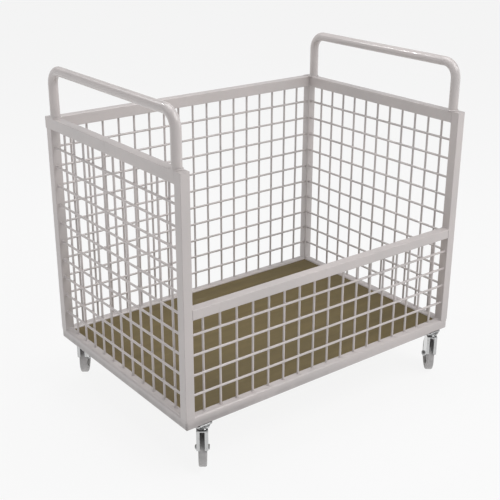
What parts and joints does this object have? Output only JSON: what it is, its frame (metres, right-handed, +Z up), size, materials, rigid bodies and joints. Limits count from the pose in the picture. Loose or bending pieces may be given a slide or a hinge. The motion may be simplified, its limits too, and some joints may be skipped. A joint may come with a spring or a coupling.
{
  "type": "roll cage container",
  "caption": "Steel mesh cage on swivel casters with a board floor, a half-height front panel and a bent tube handle at each end.",
  "frame": {"origin": "centre of the whole object's box at rest, on the floor; the frame's own centre is 17.2 mm towards -Y and 3.0 mm towards -X, because the trailing wheels reach furthest past the back and right faces", "axes": "+Z up, +X along the length from the left end to the right end, front (half-height panel) faces -Y"},
  "size_m": [0.906, 0.6818, 0.9015],
  "materials": {
    "frame_paint": "semi-gloss pale grey powder coat",
    "wire_paint": "semi-gloss pale grey powder coat on wire",
    "board": "olive-brown resin-faced board",
    "chrome": "bright plated pressed steel",
    "zinc": "zinc plated",
    "tyre": "grey non-marking rubber",
    "wheel_centre": "moulded grey plastic"
  },
  "bodies": {
    "cage": {"bottom_rail_front": "frame_paint", "bottom_rail_back": "frame_paint", "bottom_rail_left": "frame_paint", "bottom_rail_right": "frame_paint", "post_front_left": "frame_paint", "post_front_right": "frame_paint", "post_back_left": "frame_paint", "post_back_right": "frame_paint", "post_caps": "frame_paint", "top_rail_left": "frame_paint", "top_rail_right": "frame_paint", "top_rail_back": "frame_paint", "rail_end_caps": "frame_paint", "mid_rail": "frame_paint", "mesh_front": "wire_paint", "mesh_back": "wire_paint", "mesh_left": "wire_paint", "mesh_right": "wire_paint", "handle_left": "frame_paint", "handle_right": "frame_paint", "handle_welds": "frame_paint", "cross_members": "frame_paint", "board_ledges": "frame_paint", "board": "board", "board_screws": "zinc", "caster_plates": "zinc", "upper_races": "chrome", "kingpins": "zinc", "kingpin_nuts": "zinc"},
    "swivel_fl": {"fork_fl": "chrome", "lower_race_fl": "chrome", "axle_fl": "zinc", "axle_nut_fl": "zinc"},
    "roller_fl": {"tyre_fl": "tyre", "wheel_fl": "wheel_centre", "bush_fl": "zinc"},
    "swivel_fr": {"fork_fr": "chrome", "lower_race_fr": "chrome", "axle_fr": "zinc", "axle_nut_fr": "zinc"},
    "roller_fr": {"tyre_fr": "tyre", "wheel_fr": "wheel_centre", "bush_fr": "zinc"},
    "swivel_bl": {"fork_bl": "chrome", "lower_race_bl": "chrome", "axle_bl": "zinc", "axle_nut_bl": "zinc"},
    "roller_bl": {"tyre_bl": "tyre", "wheel_bl": "wheel_centre", "bush_bl": "zinc"},
    "swivel_br": {"fork_br": "chrome", "lower_race_br": "chrome", "axle_br": "zinc", "axle_nut_br": "zinc"},
    "roller_br": {"tyre_br": "tyre", "wheel_br": "wheel_centre", "bush_br": "zinc"}
  },
  "joints": [
    {"name": "swivel_fl_turn", "type": "hinge", "parent": "cage", "child": "swivel_fl", "pos_m": [-0.39899, -0.31324, 0.11], "axis": [0, 0, 1], "continuous": true},
    {"name": "roller_fl_spin", "type": "hinge", "parent": "swivel_fl", "child": "roller_fl", "pos_m": [-0.38489, -0.29383, 0.0475], "axis": [0.809, -0.5878, 0], "continuous": true},
    {"name": "swivel_fr_turn", "type": "hinge", "parent": "cage", "child": "swivel_fr", "pos_m": [0.40101, -0.31324, 0.11], "axis": [0, 0, 1], "continuous": true},
    {"name": "roller_fr_spin", "type": "hinge", "parent": "swivel_fr", "child": "roller_fr", "pos_m": [0.41643, -0.29486, 0.0475], "axis": [0.766, -0.6428, 0], "continuous": true},
    {"name": "swivel_bl_turn", "type": "hinge", "parent": "cage", "child": "swivel_bl", "pos_m": [-0.39899, 0.27875, 0.11], "axis": [0, 0, 1], "continuous": true},
    {"name": "roller_bl_spin", "type": "hinge", "parent": "swivel_bl", "child": "roller_bl", "pos_m": [-0.38489, 0.29817, 0.0475], "axis": [0.809, -0.5878, 0], "continuous": true},
    {"name": "swivel_br_turn", "type": "hinge", "parent": "cage", "child": "swivel_br", "pos_m": [0.40101, 0.27875, 0.11], "axis": [0, 0, 1], "continuous": true},
    {"name": "roller_br_spin", "type": "hinge", "parent": "swivel_br", "child": "roller_br", "pos_m": [0.41578, 0.29767, 0.0475], "axis": [0.788, -0.6157, 0], "continuous": true}
  ]
}
